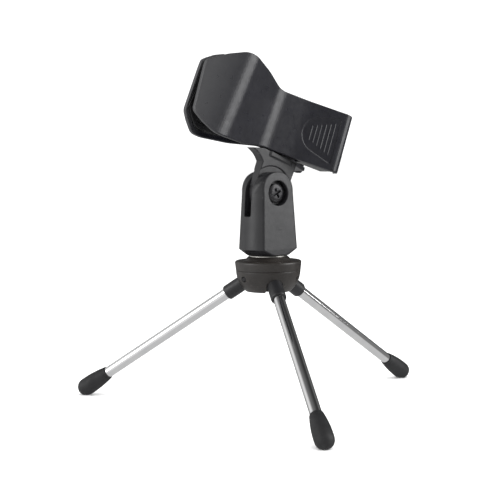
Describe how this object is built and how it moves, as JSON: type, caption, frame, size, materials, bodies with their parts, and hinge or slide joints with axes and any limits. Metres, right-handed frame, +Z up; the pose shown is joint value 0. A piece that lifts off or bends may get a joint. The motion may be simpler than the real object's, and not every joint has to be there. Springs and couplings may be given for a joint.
{
  "type": "desktop microphone stand",
  "caption": "Small folding tripod with chromed legs and rubber feet, carrying a tilting sprung two-jaw microphone clip on a threaded swivel.",
  "frame": {"origin": "on the hub's upright axis, at the level of the table the feet stand on", "axes": "+Z up along the hub and stud; +Y along the tilt hinge, whose screw head faces -Y; +X towards the clip's handles"},
  "size_m": [0.1589, 0.1764, 0.1694],
  "materials": {
    "satin_black_plastic": "satin moulded black, fine mould texture",
    "clip_plastic": "smooth satin black",
    "hub_plastic": "satin brown-black",
    "rubber": "soft matt black",
    "chrome_rod": "bright chrome",
    "nickel": "nickel plated",
    "black_steel": "black zinc, slightly glossy",
    "steel": "plain zinc-plated steel",
    "brass": "turned brass"
  },
  "bodies": {
    "tripod_hub": {"hub_bowl": "hub_plastic", "hub_cap": "hub_plastic", "thread_stud": "nickel", "hub_screw": "black_steel", "leg_pin_1": "black_steel", "leg_pin_2": "black_steel", "leg_pin_3": "black_steel"},
    "swivel": {"swivel_body": "satin_black_plastic", "thread_insert": "brass", "hinge_screw": "black_steel", "hinge_washer": "black_steel", "hinge_nut": "steel"},
    "stem": {"clip_stem": "satin_black_plastic", "clip_pivot_pin": "steel", "pivot_cap": "steel", "clip_spring": "steel"},
    "front_jaw_half": {"front_jaw": "clip_plastic", "front_jaw_pad": "rubber"},
    "rear_jaw_half": {"rear_jaw": "clip_plastic", "rear_jaw_pad": "rubber"},
    "leg_1": {"leg_knuckle_1": "satin_black_plastic", "leg_rod_1": "chrome_rod", "foot_1": "rubber"},
    "leg_2": {"leg_knuckle_2": "satin_black_plastic", "leg_rod_2": "chrome_rod", "foot_2": "rubber"},
    "leg_3": {"leg_knuckle_3": "satin_black_plastic", "leg_rod_3": "chrome_rod", "foot_3": "rubber"}
  },
  "joints": [
    {"name": "leg_1_fold", "type": "hinge", "parent": "tripod_hub", "child": "leg_1", "pos_m": [0.00848, 0.0005, 0.06174], "axis": [-0.0593, 0.9982, 0], "range_deg": [0, 56.8]},
    {"name": "leg_2_fold", "type": "hinge", "parent": "tripod_hub", "child": "leg_2", "pos_m": [-0.00468, 0.0071, 0.06174], "axis": [-0.8348, -0.5505, 0], "range_deg": [0, 56.8]},
    {"name": "leg_3_fold", "type": "hinge", "parent": "tripod_hub", "child": "leg_3", "pos_m": [-0.00381, -0.0076, 0.06174], "axis": [0.8942, -0.4478, 0], "range_deg": [0, 56.8]},
    {"name": "swivel_turn", "type": "hinge", "parent": "tripod_hub", "child": "swivel", "pos_m": [0, 0, 0.078], "axis": [0, 0, 1], "range_deg": [-180, 180]},
    {"name": "clip_tilt", "type": "hinge", "parent": "swivel", "child": "stem", "pos_m": [0, 0, 0.1024], "axis": [0, 1, 0], "range_deg": [-75, 33]},
    {"name": "front_jaw_open", "type": "hinge", "parent": "stem", "child": "front_jaw_half", "pos_m": [0.01649, 0, 0.13247], "axis": [0.3616, 0, 0.9323], "range_deg": [0, 15], "stiffness_Nm_per_rad": 0.2, "springref_deg": -28.65, "deforming": ["clip_spring"]},
    {"name": "rear_jaw_open", "type": "hinge", "parent": "stem", "child": "rear_jaw_half", "pos_m": [0.01649, 0, 0.13247], "axis": [-0.3616, 0, -0.9323], "range_deg": [0, 15]}
  ],
  "couplings": [
    {"joint": "rear_jaw_open", "follows": "front_jaw_open", "ratio": 1}
  ]
}
